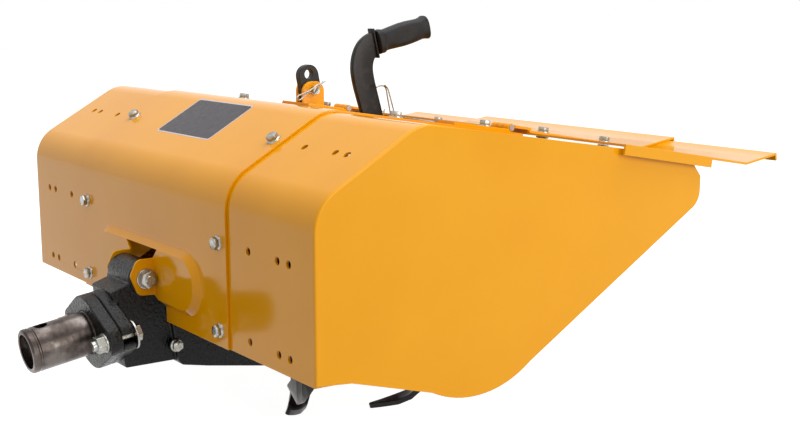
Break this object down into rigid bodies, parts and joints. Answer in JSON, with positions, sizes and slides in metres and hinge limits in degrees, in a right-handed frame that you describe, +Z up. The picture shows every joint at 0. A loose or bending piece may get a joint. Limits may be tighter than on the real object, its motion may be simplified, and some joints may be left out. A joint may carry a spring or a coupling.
{
  "type": "rotary tiller",
  "caption": "Walking-tractor rotary tiller: front drive spigot, gearbox, tine rotor under an adjustable sheet hood, and a hinged rear board.",
  "frame": {"origin": "on the ground, under the middle of the tiller's overall box", "axes": "+X to the machine's left, +Y to the rear (the drive spigot points to -Y), +Z up"},
  "size_m": [0.782, 0.8907, 0.4976],
  "materials": {
    "yellow_paint": "gloss",
    "black_cast": "satin",
    "machined_steel": "satin",
    "zinc_plate": "satin",
    "black_paint": "satin",
    "grip_plastic": "matte"
  },
  "bodies": {
    "tiller": {"hood_wing_left": "yellow_paint", "hood_wing_right": "yellow_paint", "hood_centre": "yellow_paint", "hood_pivot_bolt": "zinc_plate", "gearbox_case": "black_cast", "coupling_flange": "black_cast", "input_spigot": "machined_steel", "lug_bolts": "zinc_plate", "lift_link": "black_paint", "link_bracket": "yellow_paint", "clevis_pin": "zinc_plate", "lift_link_bolt": "zinc_plate", "depth_lever": "black_paint", "lever_sector": "yellow_paint", "depth_skid": "black_paint", "skid_bolts": "zinc_plate", "lever_grip": "grip_plastic", "hinge_leaf_left": "yellow_paint", "hinge_leaf_right": "yellow_paint", "hinge_pin_left": "zinc_plate", "hinge_pin_right": "zinc_plate"},
    "rotor": {"rotor_shaft": "black_paint", "ring_disc_left_inner": "black_paint", "ring_disc_left_outer": "black_paint", "ring_disc_right_inner": "black_paint", "ring_disc_right_outer": "black_paint", "tines_left_inner": "black_paint", "tines_left_outer": "black_paint", "tines_right_inner": "black_paint", "tines_right_outer": "black_paint"},
    "input_line": {"input_shaft": "machined_steel"},
    "rear_board": {"board_centre": "yellow_paint", "board_extension_left": "yellow_paint", "board_extension_right": "yellow_paint", "board_leaf_left": "yellow_paint", "board_leaf_right": "yellow_paint"}
  },
  "joints": [
    {"name": "rotor_spin", "type": "hinge", "parent": "tiller", "child": "rotor", "pos_m": [0, -0.0906, 0.1633], "axis": [1, 0, 0], "continuous": true},
    {"name": "input_spin", "type": "hinge", "parent": "tiller", "child": "input_line", "pos_m": [0, -0.33774, 0.12557], "axis": [0, -0.9885, -0.1509], "continuous": true},
    {"name": "board_hinge", "type": "hinge", "parent": "tiller", "child": "rear_board", "pos_m": [0, 0.1344, 0.35646], "axis": [1, 0, 0], "range_deg": [0, 75]}
  ],
  "couplings": [
    {"joint": "input_spin", "follows": "rotor_spin", "ratio": 3.4}
  ]
}
